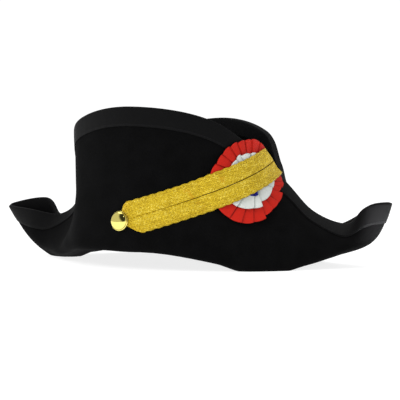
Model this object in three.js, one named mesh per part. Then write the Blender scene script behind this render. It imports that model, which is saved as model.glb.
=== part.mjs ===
// A bicorne hat of black wool felt, worn with its horns to left and right.
// One sheet of felt makes the crown and the brim. The brim leaves the headline, drops a little,
// folds and stands up as a front flap and a back flap, which meet in a hollow horn on each side.
// A ribbon binds the whole edge of the brim. A pleated cockade sits on the front flap, and a gold
// braid, doubled into two runs, goes from a domed button over the cockade and over the flap's edge.
// Millimetres, +Z up, the front flap faces -Y, and the hat rests on the plane Z = 0.
import * as THREE from 'three';

// Head
const headDepth = 200; // inside of the crown from forehead to nape
const headWidth = 168; // inside of the crown from ear to ear
const crownHeight = 120; // top of the crown above the surface that the hat rests on
const crownSquareness = 3; // 2 is a round dome, higher is a flatter top with a tighter edge

// Felt
const feltThickness = 3;
const frontHeadline = 27; // height of the crown's opening at the forehead and the nape
const sideHeadline = 22; // height of the crown's opening over the ears
const hornReach = 136; // from the side of the head to the mean horn tip
const flapStandoff = 18; // from the crown to the outermost bulge of a flap
const flapHeight = 155; // middle of the front flap's edge above the resting surface
const lipGap = 3.4; // free gap between the two bound edges where the flaps close on a horn

// Ribbon that binds the edge
const ribbonWidth = 18; // on each face of the felt
const ribbonThickness = 1;

// Cockade
const cockadeRadius = 41;
const whiteRadius = 28;
const blueRadius = 14;
const pleatCount = 20;
const pleatDepth = 1;
const redThickness = 1.2;
const whiteThickness = 1;
const blueThickness = 0.8;
const redTuck = 5; // how far the red ring goes in under the white one
const whiteTuck = 4; // how far the white ring goes in under the blue one

// Braid and button
const braidWidth = 16.4; // one run
const braidThickness = 1;
const braidAngle = 15.1; // degrees that the braid climbs from level at the button
const braidBend = 20; // degrees that the braid has turned upwards after bendLength
const bendLength = 160;
const braidTail = 14; // how far the braid goes down inside the flap
const upperSlant = 0.56; // how far a folded end runs back for each millimetre across the upper run
const lowerSlant = 1.2; // the same for the lower run
const endLap = 1.5; // how far the folded ends reach behind the button's centre
const buttonRadius = 9.5;
const buttonHeight = 6;
const buttonEdge = 1.4;

// Clearances between pieces
const clearance = 0.3;
const trimClearance = 0.8; // under a trim that bridges the felt's facets

// Places on the front flap, as a turn round the head and a share of the way from headline to edge
const buttonTurn = 90.7;
const buttonShare = 0.345;
const cockadeTurn = 66.6;
const cockadeShare = 0.81;

const halfLength = headWidth / 2 + hornReach;
const halfDepth = headDepth / 2 + feltThickness + flapStandoff;
const halfFelt = feltThickness / 2;
const lipOffset = halfFelt + clearance + ribbonThickness + lipGap / 2;

// Radial sections of the brim, one row every 15 degrees round the head from the right horn over
// the front. The columns give three places on each section as shares: x of halfLength, y of
// halfDepth, the fold's z of frontHeadline, and the other z of flapHeight. The lip column says
// which way the edge moves out by lipOffset, -1 on the front flap and +1 on the back flap.
const sectionStep = 15;
const sectionColumns = [
  'foldX', 'foldY', 'foldZ', 'wallX', 'wallY', 'wallZ', 'edgeX', 'edgeY', 'edgeZ', 'lip',
];
const sectionRows = [
  [0.809, 0, 0.519, 0.945, 0, 0.174, 1.023, 0, 0.406, 0], // 0
  [0.8, -0.149, 0.481, 0.905, -0.14, 0.168, 0.95, -0.103, 0.387, -1], // 15
  [0.727, -0.38, 0.259, 0.818, -0.207, 0.161, 0.841, -0.004, 0.265, -1], // 30
  [0.591, -0.62, -0.056, 0.691, -0.347, 0.2, 0.673, 0, 0.342, -1], // 45
  [0.445, -0.785, 0.315, 0.555, -0.496, 0.303, 0.532, -0.103, 0.568, -1], // 60
  [0.227, -0.942, 0.611, 0.327, -0.81, 0.49, 0.355, -0.665, 0.9, -1], // 75
  [0, -0.938, 0.704, 0, -0.955, 0.568, 0, -0.872, 1, -1], // 90
  [-0.209, -0.884, 0.685, -0.295, -0.76, 0.555, -0.318, -0.665, 0.935, -1], // 105
  [-0.373, -0.711, 0.63, -0.427, -0.43, 0.394, -0.459, -0.285, 0.742, -1], // 120
  [-0.505, -0.479, 0.463, -0.509, -0.298, 0.219, -0.541, -0.012, 0.426, -1], // 135
  [-0.6, -0.314, 0.315, -0.668, -0.182, 0.152, -0.65, -0.004, 0.297, -1], // 150
  [-0.668, -0.124, 0.167, -0.8, -0.116, 0.148, -0.818, -0.054, 0.329, -1], // 165
  [-0.682, 0, -0.056, -0.873, 0, 0.165, -0.977, 0, 0.361, 0], // 180
  [-0.664, 0.124, 0.185, -0.795, 0.132, 0.155, -0.805, 0.087, 0.41, 1], // 195
  [-0.605, 0.347, 0.278, -0.682, 0.215, 0.161, -0.705, 0.033, 0.29, 1], // 210
  [-0.523, 0.562, 0.333, -0.595, 0.38, 0.245, -0.577, 0.021, 0.348, 1], // 225
  [-0.4, 0.769, 0.556, -0.509, 0.521, 0.355, -0.509, 0.211, 0.658, 1], // 240
  [-0.227, 0.909, 0.63, -0.327, 0.81, 0.49, -0.336, 0.674, 0.903, 1], // 255
  [0, 0.938, 0.704, 0, 0.955, 0.568, 0, 0.872, 1, 1], // 270
  [0.227, 0.909, 0.63, 0.318, 0.769, 0.516, 0.291, 0.64, 0.887, 1], // 285
  [0.391, 0.727, 0.37, 0.445, 0.463, 0.374, 0.423, 0.368, 0.658, 1], // 300
  [0.545, 0.545, -0.019, 0.536, 0.314, 0.258, 0.55, 0.012, 0.465, 1], // 315
  [0.682, 0.38, 0.222, 0.764, 0.231, 0.168, 0.755, 0, 0.252, 1], // 330
  [0.786, 0.165, 0.481, 0.9, 0.14, 0.168, 0.936, 0.095, 0.384, 1], // 345
];

const radians = Math.PI / 180;

// Value of one column at any turn, by a smooth curve through the rows
function column(name, turn) {
  const index = sectionColumns.indexOf(name);
  const count = sectionRows.length;
  const place = (((turn / sectionStep) % count) + count) % count;
  const row = Math.floor(place);
  const t = place - row;
  const [a, b, c, d] = [-1, 0, 1, 2].map((k) => sectionRows[(row + k + count) % count][index]);
  const slope = (c - a) / 2;
  const nextSlope = (d - b) / 2;
  const bend = 3 * (c - b) - 2 * slope - nextSlope;
  const twist = 2 * (b - c) + slope + nextSlope;
  return b + t * (slope + t * (bend + t * twist));
}

// The four places that a radial section goes through: headline, fold, wall and edge
function sectionPoints(turn) {
  const angle = turn * radians;
  const sideShare = Math.cos(angle) ** 2;
  const headline = new THREE.Vector3(
    (headWidth / 2 + halfFelt) * Math.cos(angle),
    -(headDepth / 2 + halfFelt) * Math.sin(angle),
    frontHeadline + (sideHeadline - frontHeadline) * sideShare,
  );
  const fold = new THREE.Vector3(
    column('foldX', turn) * halfLength,
    column('foldY', turn) * halfDepth,
    column('foldZ', turn) * frontHeadline,
  );
  const wall = new THREE.Vector3(
    column('wallX', turn) * halfLength,
    column('wallY', turn) * halfDepth,
    column('wallZ', turn) * flapHeight,
  );
  const edge = new THREE.Vector3(
    column('edgeX', turn) * halfLength,
    column('edgeY', turn) * halfDepth + column('lip', turn) * lipOffset,
    column('edgeZ', turn) * flapHeight,
  );
  return [headline, fold, wall, edge];
}

// Lengths of the three spans of a section, and the smooth curve through its four places
function sectionCurve(turn) {
  const points = sectionPoints(turn);
  const spans = [0, 1, 2].map((k) => points[k].distanceTo(points[k + 1]));
  const directions = [0, 1, 2].map((k) => points[k + 1].clone().sub(points[k]).divideScalar(spans[k]));
  const tangents = [1, 2].map((k) => directions[k - 1].clone().multiplyScalar(spans[k])
    .addScaledVector(directions[k], spans[k - 1]).divideScalar(spans[k - 1] + spans[k]));
  const first = directions[0].clone().multiplyScalar(1.5).addScaledVector(tangents[0], -0.5);
  const last = directions[2].clone().multiplyScalar(1.5).addScaledVector(tangents[1], -0.5);
  const length = spans[0] + spans[1] + spans[2];
  return { points, spans, tangents: [first, ...tangents, last], length };
}

// Middle of the felt. The share is 0 at the headline, 1 at the brim's edge and -1 at the crown's
// top, and above 1 it goes straight on past the edge.
function feltPoint(turn, share) {
  if (share < 0) {
    const headline = sectionPoints(turn)[0];
    const climb = Math.min(-share, 1) * Math.PI / 2;
    const spread = Math.max(Math.cos(climb), 0) ** (2 / crownSquareness);
    const rise = Math.sin(climb) ** (2 / crownSquareness);
    const top = crownHeight - halfFelt;
    const height = headline.z + (top - headline.z) * rise;
    return new THREE.Vector3(headline.x * spread, headline.y * spread, height);
  }
  const { points, spans, tangents, length } = sectionCurve(turn);
  let distance = share * length;
  if (distance > length) {
    return points[3].clone().addScaledVector(tangents[3], distance - length);
  }
  let span = 0;
  while (span < 2 && distance > spans[span]) {
    distance -= spans[span];
    span += 1;
  }
  const t = distance / spans[span];
  const point = points[span].clone().multiplyScalar(1 - t * t * (3 - 2 * t));
  point.addScaledVector(points[span + 1], t * t * (3 - 2 * t));
  point.addScaledVector(tangents[span], spans[span] * t * (1 - t) ** 2);
  point.addScaledVector(tangents[span + 1], -spans[span] * t * t * (1 - t));
  point.z = Math.max(point.z, halfFelt); // the felt lies flat where the hat rests
  return point;
}

// Directions round the head and towards the edge, and the normal out of the flap's shown face
function feltFrame(turn, share) {
  const turnStep = 0.05;
  const shareStep = 0.001;
  const round = feltPoint(turn + turnStep, share).sub(feltPoint(turn - turnStep, share))
    .divideScalar(2 * turnStep);
  const up = feltPoint(turn, share + shareStep).sub(feltPoint(turn, share - shareStep))
    .divideScalar(2 * shareStep);
  const normal = up.clone().cross(round).normalize();
  return { round, up, normal };
}

// A point at a height above the middle of the felt, on the flap's shown side
function liftedPoint(turn, share, lift) {
  return feltPoint(turn, share).addScaledVector(feltFrame(turn, share).normal, lift);
}

// Walk straight over the felt from a place, in steps short against the felt's bends
const walkStep = 2;
function walk(start, heading, distance) {
  const steps = Math.max(1, Math.ceil(Math.abs(distance) / walkStep));
  const step = distance / steps;
  let { turn, share } = start;
  const direction = heading.clone();
  for (let k = 0; k < steps; k += 1) {
    const { round, up, normal } = feltFrame(turn, share);
    direction.addScaledVector(normal, -direction.dot(normal)).normalize();
    const [aa, ab, bb] = [round.dot(round), round.dot(up), up.dot(up)];
    const [a, b] = [round.dot(direction), up.dot(direction)];
    const scale = step / (aa * bb - ab * ab);
    turn += scale * (bb * a - ab * b);
    share += scale * (aa * b - ab * a);
  }
  return { turn, share, heading: direction };
}

// Level and climbing directions on the felt at a place, the level one towards +X
function levelFrame({ turn, share }) {
  const { normal } = feltFrame(turn, share);
  const level = new THREE.Vector3(0, 0, 1).cross(normal).normalize();
  return { level, climb: normal.clone().cross(level).normalize(), normal };
}

// A closed solid between two grids of points with equal rows. Columns run round when ring is
// true, and a first row of one point closes the grid there. Each four-sided facet is cut in two
// from its first corner. Where mirrored is true the bottom is cut along its other diagonal.
function solidBetween(name, material, top, bottom, { ring, mirrored }) {
  const vertices = [];
  const faces = [];
  const place = (rows) => rows.map((row) => row.map(
    (point) => vertices.push(point.x, point.y, point.z) / 3 - 1,
  ));
  const topRows = place(top);
  const bottomRows = place(bottom);
  const last = topRows.length - 1;
  const columns = topRows[last].length;
  const pairs = ring ? columns : columns - 1;
  const face = (...corners) => {
    if (new Set(corners).size === 3) faces.push(...corners);
  };
  const quad = (a, b, c, d) => {
    face(a, b, c);
    face(a, c, d);
  };
  const at = (row, k) => (row.length === 1 ? row[0] : row[k % columns]);
  const corners = (rows, r, k) => [
    at(rows[r], k), at(rows[r], k + 1), at(rows[r + 1], k + 1), at(rows[r + 1], k),
  ];
  for (let r = 0; r < last; r += 1) {
    for (let k = 0; k < pairs; k += 1) {
      const [a, b, c, d] = corners(topRows, r, k);
      const [e, f, g, h] = corners(bottomRows, r, k);
      quad(a, b, c, d);
      if (mirrored) quad(f, e, h, g);
      else quad(g, f, e, h);
    }
  }
  for (let k = 0; k < pairs; k += 1) {
    const next = (k + 1) % columns;
    quad(topRows[last][k], topRows[last][next], bottomRows[last][next], bottomRows[last][k]);
    if (topRows[0].length > 1) quad(topRows[0][next], topRows[0][k], bottomRows[0][k], bottomRows[0][next]);
  }
  for (let r = 0; r < last && !ring; r += 1) {
    const end = columns - 1;
    quad(topRows[r][0], topRows[r + 1][0], bottomRows[r + 1][0], bottomRows[r][0]);
    quad(topRows[r + 1][end], topRows[r][end], bottomRows[r][end], bottomRows[r + 1][end]);
  }
  const geometry = new THREE.BufferGeometry();
  geometry.setAttribute('position', new THREE.Float32BufferAttribute(vertices, 3));
  geometry.setIndex(outwards(vertices, faces));
  geometry.computeVertexNormals();
  const mesh = new THREE.Mesh(geometry, material);
  mesh.name = name;
  return mesh;
}

// The faces, turned over if they enclose a negative volume
function outwards(vertices, faces) {
  const corner = (k) => new THREE.Vector3().fromArray(vertices, 3 * k);
  let volume = 0;
  for (let k = 0; k < faces.length; k += 3) {
    volume += corner(faces[k]).dot(corner(faces[k + 1]).cross(corner(faces[k + 2])));
  }
  return volume < 0 ? [...faces].reverse() : faces;
}

// Stations round the hat, closer where the edge is long or turns sharply
const stationCount = 84;
const turnWeight = 22; // millimetres of edge that one radian of turning counts for
const foldWeight = 0.4;
function stationTurns() {
  const samples = 720;
  const total = [0];
  const turnAt = (k) => (360 * k) / samples;
  const edgeAt = (k) => sectionPoints(turnAt(k))[3];
  const foldAt = (k) => sectionPoints(turnAt(k))[1];
  for (let k = 0; k < samples; k += 1) {
    const along = edgeAt(k + 1).sub(edgeAt(k));
    const before = edgeAt(k).sub(edgeAt(k - 1));
    const fold = foldAt(k + 1).distanceTo(foldAt(k));
    total.push(total[k] + along.length() + foldWeight * fold + turnWeight * along.angleTo(before));
  }
  const turns = [];
  let k = 0;
  for (let station = 0; station < stationCount; station += 1) {
    const wanted = (total[samples] * station) / stationCount;
    while (total[k + 1] < wanted) k += 1;
    turns.push(turnAt(k + (wanted - total[k]) / (total[k + 1] - total[k])));
  }
  return turns;
}
const turns = stationTurns();

// Share of a section at which the ribbon ends
function ribbonShare(turn) {
  return 1 - ribbonWidth / sectionCurve(turn).length;
}

// Materials
const feltBlack = new THREE.MeshStandardMaterial({ color: '#141415', roughness: 0.95, metalness: 0 });
const ribbonBlack = new THREE.MeshStandardMaterial({ color: '#1d1d20', roughness: 0.6, metalness: 0 });
const red = new THREE.MeshStandardMaterial({ color: '#c8281c', roughness: 0.6, metalness: 0 });
const white = new THREE.MeshStandardMaterial({ color: '#e2e6e3', roughness: 0.6, metalness: 0 });
const blue = new THREE.MeshStandardMaterial({ color: '#15186a', roughness: 0.6, metalness: 0 });
const goldBraid = new THREE.MeshStandardMaterial({ color: '#d2ab2b', roughness: 0.4, metalness: 0.6 });
const goldMetal = new THREE.MeshStandardMaterial({ color: '#e0b23a', roughness: 0.15, metalness: 1 });

const hat = new THREE.Group();

// Felt: crown and brim in one sheet, from the crown's top down to the headline and out to the edge
const crownRings = [0.78, 0.58, 0.4, 0.22, 0.1];
const brimRings = 12;
function feltRows(lift) {
  const rows = [[new THREE.Vector3(0, 0, crownHeight - halfFelt - lift)]];
  for (const climb of crownRings) {
    rows.push(turns.map((turn) => liftedPoint(turn, -climb, lift)));
  }
  for (let ring = 0; ring <= brimRings; ring += 1) {
    rows.push(turns.map((turn) => liftedPoint(turn, (ribbonShare(turn) * ring) / brimRings, lift)));
  }
  rows.push(turns.map((turn) => liftedPoint(turn, 1, lift)));
  return rows;
}
hat.add(solidBetween('felt_body', feltBlack, feltRows(halfFelt), feltRows(-halfFelt),
  { ring: true, mirrored: true }));

// Ribbon: a U over the edge, with its two legs along the felt's faces
function ribbonRows(depth) {
  const lift = halfFelt + clearance + depth;
  const past = clearance + depth;
  const round = depth / 2;
  return [
    turns.map((turn) => liftedPoint(turn, ribbonShare(turn), lift)),
    turns.map((turn) => liftedPoint(turn, 1, lift)),
    turns.map((turn) => pastEdge(turn, past, lift - round)),
    turns.map((turn) => pastEdge(turn, past, round - lift)),
    turns.map((turn) => liftedPoint(turn, 1, -lift)),
    turns.map((turn) => liftedPoint(turn, ribbonShare(turn), -lift)),
  ];
}

// A point past the brim's edge, at a height above the middle of the felt
function pastEdge(turn, past, lift) {
  const { up, normal } = feltFrame(turn, 1);
  return feltPoint(turn, 1).addScaledVector(up.normalize(), past).addScaledVector(normal, lift);
}
hat.add(solidBetween('rim_binding', ribbonBlack, ribbonRows(ribbonThickness), ribbonRows(0),
  { ring: true, mirrored: false }));

// Cockade: three pleated rings of ribbon, the smaller ones over the larger
const cockadePlace = { turn: cockadeTurn, share: cockadeShare };
const pleatFold = 0.84; // share of a pleat's width at which it folds back
const pleatSteps = [0, pleatFold];
const rounding = 1e-6;
function pleatLift(angle) {
  const pleat = (angle * pleatCount) / (2 * Math.PI);
  const t = pleat - Math.floor(pleat + rounding);
  return pleatDepth * Math.min(t / pleatFold, (1 - t) / (1 - pleatFold));
}

function cockadeRows(radii, lift) {
  const { level, climb } = levelFrame(cockadePlace);
  const angles = [];
  for (let pleat = 0; pleat < pleatCount; pleat += 1) {
    for (const step of pleatSteps) angles.push(((pleat + step) * 2 * Math.PI) / pleatCount);
  }
  return radii.map((radius) => (radius === 0 ? [0] : angles).map((angle) => {
    const heading = level.clone().multiplyScalar(Math.cos(angle)).addScaledVector(climb, Math.sin(angle));
    const place = radius === 0 ? cockadePlace : walk(cockadePlace, heading, radius);
    const pleat = radius === 0 ? pleatDepth / 2 : pleatLift(angle);
    return liftedPoint(place.turn, place.share, lift + pleat);
  }));
}

const redLift = halfFelt + clearance + ribbonThickness + trimClearance;
const whiteLift = redLift + redThickness + clearance;
const blueLift = whiteLift + whiteThickness + clearance;
const redInner = whiteRadius - redTuck;
const whiteInner = blueRadius - whiteTuck;
const redRadii = [redInner, (redInner + cockadeRadius) / 2, cockadeRadius];
const whiteRadii = [whiteInner, (whiteInner + whiteRadius) / 2, whiteRadius];
const blueRadii = [0, blueRadius / 2, blueRadius];
const pleatedRing = { ring: true, mirrored: false };
hat.add(solidBetween('cockade_red', red, cockadeRows(redRadii, redLift + redThickness),
  cockadeRows(redRadii, redLift), pleatedRing));
hat.add(solidBetween('cockade_white', white, cockadeRows(whiteRadii, whiteLift + whiteThickness),
  cockadeRows(whiteRadii, whiteLift), pleatedRing));
hat.add(solidBetween('cockade_blue', blue, cockadeRows(blueRadii, blueLift + blueThickness),
  cockadeRows(blueRadii, blueLift), pleatedRing));

// Braid: two runs side by side from under the button, over the cockade and the flap's edge
const buttonPlace = { turn: buttonTurn, share: buttonShare };
const cockadeTop = blueLift + blueThickness + pleatDepth + trimClearance;
const cockadeEdgeTop = redLift + redThickness + pleatDepth + trimClearance;
const feltTop = halfFelt + trimClearance;
const rampLength = 15;
const cockadeCentre = feltPoint(cockadeTurn, cockadeShare);

// Stations along the middle of the doubled braid, which is curved upwards on the felt
const braidStep = 4;
function braidStations(reach) {
  const { level, climb } = levelFrame(buttonPlace);
  const angle = braidAngle * radians;
  const heading = level.clone().multiplyScalar(Math.cos(angle)).addScaledVector(climb, Math.sin(angle));
  const stations = [{ ...buttonPlace, heading }];
  for (let along = 0; along < reach; along += braidStep) {
    const station = walk(stations[stations.length - 1], stations[stations.length - 1].heading, braidStep);
    const turned = (braidBend * braidStep) / bendLength;
    station.heading.applyAxisAngle(feltFrame(station.turn, station.share).normal, turned * radians);
    stations.push(station);
  }
  return stations;
}
const braidReach = halfLength;
const middleLine = braidStations(braidReach);

// A place on the felt, so far along the braid from the button and so far up across it, with the
// direction that the braid goes on in
function braidPlace(along, across) {
  const index = Math.min(Math.max(Math.floor(along / braidStep), 0), middleLine.length - 1);
  const station = middleLine[index];
  const middle = walk(station, station.heading, along - index * braidStep);
  const { normal } = feltFrame(middle.turn, middle.share);
  const { turn, share } = walk(middle, normal.clone().cross(middle.heading).normalize(), across);
  return { turn, share, forward: middle.heading };
}

// Height of the braid's underside above the middle of the felt
function braidLift(place) {
  const smooth = (t) => THREE.MathUtils.smoothstep(t, 0, 1);
  const distance = feltPoint(place.turn, place.share).distanceTo(cockadeCentre);
  const share = distance / cockadeRadius;
  if (share < 1) return cockadeTop + (cockadeEdgeTop - cockadeTop) * share * share;
  const toRibbon = (ribbonShare(place.turn) - place.share) * sectionCurve(place.turn).length;
  const overRibbon = feltTop + (redLift - feltTop) * smooth(1 - toRibbon / rampLength);
  const offCockade = smooth((distance - cockadeRadius) / rampLength);
  return cockadeEdgeTop + (overRibbon - cockadeEdgeTop) * offCockade;
}

// How far along a line of the braid reaches the flap's edge
function alongToEdge(across) {
  let [low, high] = [cockadeRadius, braidReach];
  while (high - low > 0.01) {
    const middle = (low + high) / 2;
    if (braidPlace(middle, across).share < 1) low = middle;
    else high = middle;
  }
  return low;
}

// How far the cockade stands out past a place on the flap's edge, in a direction
function cockadeOverhang(corner, forward) {
  const reach = corner.clone().sub(cockadeCentre);
  const ahead = reach.dot(forward);
  const chord = cockadeRadius ** 2 - reach.lengthSq() + ahead ** 2;
  return reach.length() < cockadeRadius ? Math.sqrt(chord) - ahead : 0;
}

const braidSteps = 20;
const wrapSteps = 6;
const tailSteps = 2;
function braidLine(across, thickness) {
  const line = [];
  const start = Math.abs(across) * (across > 0 ? upperSlant : lowerSlant) - endLap;
  const end = alongToEdge(across);
  for (let k = 0; k <= braidSteps; k += 1) {
    const place = braidPlace(start + ((end - start) * k) / braidSteps, across);
    line.push(liftedPoint(place.turn, place.share, braidLift(place) + thickness));
  }
  const edge = braidPlace(end, across);
  const corner = feltPoint(edge.turn, 1);
  const { up, normal } = feltFrame(edge.turn, 1);
  const forward = edge.forward.addScaledVector(normal, -edge.forward.dot(normal)).normalize();
  const outside = braidLift(edge) + thickness;
  const inside = redLift + thickness;
  const lean = forward.dot(up.normalize());
  const overRibbon = (ribbonThickness + clearance) / lean;
  const past = Math.max(cockadeOverhang(corner, forward) + trimClearance, overRibbon);
  const reach = past + trimClearance + thickness;
  for (let k = 1; k <= wrapSteps; k += 1) {
    const angle = (Math.PI * k) / wrapSteps;
    const side = Math.sign(Math.cos(angle)) * Math.sqrt(Math.abs(Math.cos(angle)));
    const lift = (outside - inside) / 2 + (side * (outside + inside)) / 2;
    const out = reach * Math.sqrt(Math.max(Math.sin(angle), 0));
    line.push(corner.clone().addScaledVector(forward, out).addScaledVector(normal, lift));
  }
  for (let k = 1; k <= tailSteps; k += 1) {
    const share = 1 - (braidTail * k) / tailSteps / sectionCurve(edge.turn).length;
    line.push(liftedPoint(edge.turn, share, -inside));
  }
  return line;
}

function braidRun(name, side) {
  const columns = [clearance / 2, clearance / 2 + braidWidth / 2, clearance / 2 + braidWidth];
  const top = columns.map((across) => braidLine(side * across, braidThickness));
  const bottom = columns.map((across) => braidLine(side * across, 0));
  return solidBetween(name, goldBraid, top, bottom, { ring: false, mirrored: false });
}
hat.add(braidRun('braid_upper', 1));
hat.add(braidRun('braid_lower', -1));

// Button: a dome with a rolled edge, seated on the folded end of the braid
const domeShare = 0.93; // the dome's radius as a share of the button's
const domeClimbs = [20, 40, 60, 75]; // degrees up the dome's arc
const buttonProfile = [[0, 0], [0.86, 0], [1, 0.3], [1, 0.75], [domeShare, 1]].map(
  ([radius, height]) => new THREE.Vector2(radius * buttonRadius, height * buttonEdge),
);
for (const climb of domeClimbs) {
  buttonProfile.push(new THREE.Vector2(
    domeShare * buttonRadius * Math.cos(climb * radians),
    buttonEdge + (buttonHeight - buttonEdge) * Math.sin(climb * radians),
  ));
}
buttonProfile.push(new THREE.Vector2(0, buttonHeight));
const buttonSides = 28;
const button = new THREE.Mesh(new THREE.LatheGeometry(buttonProfile, buttonSides), goldMetal);
button.name = 'button';
const buttonLift = feltTop + braidThickness + trimClearance;
button.position.copy(liftedPoint(buttonTurn, buttonShare, buttonLift));
button.quaternion.setFromUnitVectors(new THREE.Vector3(0, 1, 0), levelFrame(buttonPlace).normal);
hat.add(button);

// The origin is the bottom centre of the whole hat
const box = new THREE.Box3().setFromObject(hat, true);
const centre = box.getCenter(new THREE.Vector3());
hat.position.set(-centre.x, -centre.y, -box.min.z);

export default hat;
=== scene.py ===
# %% [markdown]
# # A bicorne hat in black felt
# The hat is one sheet of blocked felt. Its brim stands up as two flaps that meet in a horn on each
# side. A ribbon binds the edge. A pleated cockade and a doubled gold braid with a domed button
# dress the front flap. The solids of the construction model are loaded first as a fixed frame,
# and each fine piece is made where its solid is.

# %% Load the frame
import math

import bmesh
import bpy
import numpy as np
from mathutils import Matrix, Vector


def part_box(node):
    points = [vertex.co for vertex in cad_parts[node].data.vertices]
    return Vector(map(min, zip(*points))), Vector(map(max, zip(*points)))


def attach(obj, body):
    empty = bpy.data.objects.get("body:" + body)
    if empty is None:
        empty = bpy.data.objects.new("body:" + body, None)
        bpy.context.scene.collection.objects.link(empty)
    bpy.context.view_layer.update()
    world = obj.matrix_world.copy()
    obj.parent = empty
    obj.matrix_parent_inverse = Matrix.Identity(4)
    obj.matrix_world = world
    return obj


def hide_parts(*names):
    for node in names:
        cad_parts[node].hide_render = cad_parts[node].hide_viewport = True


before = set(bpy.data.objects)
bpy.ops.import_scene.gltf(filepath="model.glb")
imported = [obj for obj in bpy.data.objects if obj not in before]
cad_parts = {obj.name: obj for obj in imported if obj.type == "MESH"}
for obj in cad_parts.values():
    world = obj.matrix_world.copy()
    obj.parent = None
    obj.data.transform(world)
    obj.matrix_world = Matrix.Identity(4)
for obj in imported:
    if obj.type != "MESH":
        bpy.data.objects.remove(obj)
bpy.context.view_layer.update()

print("solids:", sorted(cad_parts))

# %% [markdown]
# ## Sizes
# All lengths are in millimetres until a mesh is made, because hat makers measure in them. They
# are the same sizes as the construction model's, so the fine pieces fit its solids.

# %% Sizes of the hat
HEAD_DEPTH = 200
HEAD_WIDTH = 168
CROWN_HEIGHT = 120
CROWN_SQUARENESS = 3
FELT = 3
FRONT_HEADLINE = 27
SIDE_HEADLINE = 22
HORN_REACH = 136
FLAP_STANDOFF = 18
FLAP_HEIGHT = 155
LIP_GAP = 3.4
RIBBON_WIDTH = 18
RIBBON = 1.0
CLEARANCE = 0.3
TRIM_CLEARANCE = 0.8

COCKADE_RADIUS = 41
WHITE_RADIUS = 28
BLUE_RADIUS = 14
RED_THICKNESS = 1.2
WHITE_THICKNESS = 1.0
BLUE_THICKNESS = 0.8
PLEAT_DEPTH = 1.3

BRAID_WIDTH = 16.4
BRAID_ANGLE = 15.1
BRAID_BEND = 20
BEND_LENGTH = 160
BRAID_TAIL = 14
UPPER_SLANT = 0.56
LOWER_SLANT = 1.2
END_LAP = 1.5
BUTTON_RADIUS = 9.5
BUTTON_HEIGHT = 6

BUTTON_TURN = 90.7
BUTTON_SHARE = 0.345
COCKADE_TURN = 66.6
COCKADE_SHARE = 0.81

half_length = HEAD_WIDTH / 2 + HORN_REACH
half_depth = HEAD_DEPTH / 2 + FELT + FLAP_STANDOFF
lip_offset = FELT / 2 + CLEARANCE + RIBBON + LIP_GAP / 2
print("half length", half_length, "half depth", half_depth, "lip offset", lip_offset)

# %% [markdown]
# ## The shape of the felt
# A hatter blocks one sheet of felt over a wooden head and then bends its brim up. The table holds
# that bent brim as radial sections, one every 15 degrees round the head. Each section goes from
# the headline through the fold and the wall to the edge. Its values are shares: x of the half
# length, y of the half depth, a fold's z of the headline's height and the other z of the flap's.
# lip is 1, -1 or 0 for the side to which the edge stands off the middle. Subdivision modelling
# could give a similar sheet, but with a table every trim can be laid on the same felt afterwards.

# %% Table of the brim's sections
SECTION_STEP = 15
SECTION_COLUMNS = ("fold_x", "fold_y", "fold_z", "wall_x", "wall_y", "wall_z",
                   "edge_x", "edge_y", "edge_z", "lip")
SECTION_ROWS = np.array((
    (0.809, 0, 0.519, 0.945, 0, 0.174, 1.023, 0, 0.406, 0),  # 0
    (0.8, -0.149, 0.481, 0.905, -0.14, 0.168, 0.95, -0.103, 0.387, -1),  # 15
    (0.727, -0.38, 0.259, 0.818, -0.207, 0.161, 0.841, -0.004, 0.265, -1),  # 30
    (0.591, -0.62, -0.056, 0.691, -0.347, 0.2, 0.673, 0, 0.342, -1),  # 45
    (0.445, -0.785, 0.315, 0.555, -0.496, 0.303, 0.532, -0.103, 0.568, -1),  # 60
    (0.227, -0.942, 0.611, 0.327, -0.81, 0.49, 0.355, -0.665, 0.9, -1),  # 75
    (0, -0.938, 0.704, 0, -0.955, 0.568, 0, -0.872, 1, -1),  # 90
    (-0.209, -0.884, 0.685, -0.295, -0.76, 0.555, -0.318, -0.665, 0.935, -1),  # 105
    (-0.373, -0.711, 0.63, -0.427, -0.43, 0.394, -0.459, -0.285, 0.742, -1),  # 120
    (-0.505, -0.479, 0.463, -0.509, -0.298, 0.219, -0.541, -0.012, 0.426, -1),  # 135
    (-0.6, -0.314, 0.315, -0.668, -0.182, 0.152, -0.65, -0.004, 0.297, -1),  # 150
    (-0.668, -0.124, 0.167, -0.8, -0.116, 0.148, -0.818, -0.054, 0.329, -1),  # 165
    (-0.682, 0, -0.056, -0.873, 0, 0.165, -0.977, 0, 0.361, 0),  # 180
    (-0.664, 0.124, 0.185, -0.795, 0.132, 0.155, -0.805, 0.087, 0.41, 1),  # 195
    (-0.605, 0.347, 0.278, -0.682, 0.215, 0.161, -0.705, 0.033, 0.29, 1),  # 210
    (-0.523, 0.562, 0.333, -0.595, 0.38, 0.245, -0.577, 0.021, 0.348, 1),  # 225
    (-0.4, 0.769, 0.556, -0.509, 0.521, 0.355, -0.509, 0.211, 0.658, 1),  # 240
    (-0.227, 0.909, 0.63, -0.327, 0.81, 0.49, -0.336, 0.674, 0.903, 1),  # 255
    (0, 0.938, 0.704, 0, 0.955, 0.568, 0, 0.872, 1, 1),  # 270
    (0.227, 0.909, 0.63, 0.318, 0.769, 0.516, 0.291, 0.64, 0.887, 1),  # 285
    (0.391, 0.727, 0.37, 0.445, 0.463, 0.374, 0.423, 0.368, 0.658, 1),  # 300
    (0.545, 0.545, -0.019, 0.536, 0.314, 0.258, 0.55, 0.012, 0.465, 1),  # 315
    (0.682, 0.38, 0.222, 0.764, 0.231, 0.168, 0.755, 0, 0.252, 1),  # 330
    (0.786, 0.165, 0.481, 0.9, 0.14, 0.168, 0.936, 0.095, 0.384, 1),  # 345
))
print("sections:", len(SECTION_ROWS), "of", len(SECTION_COLUMNS), "values")


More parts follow.
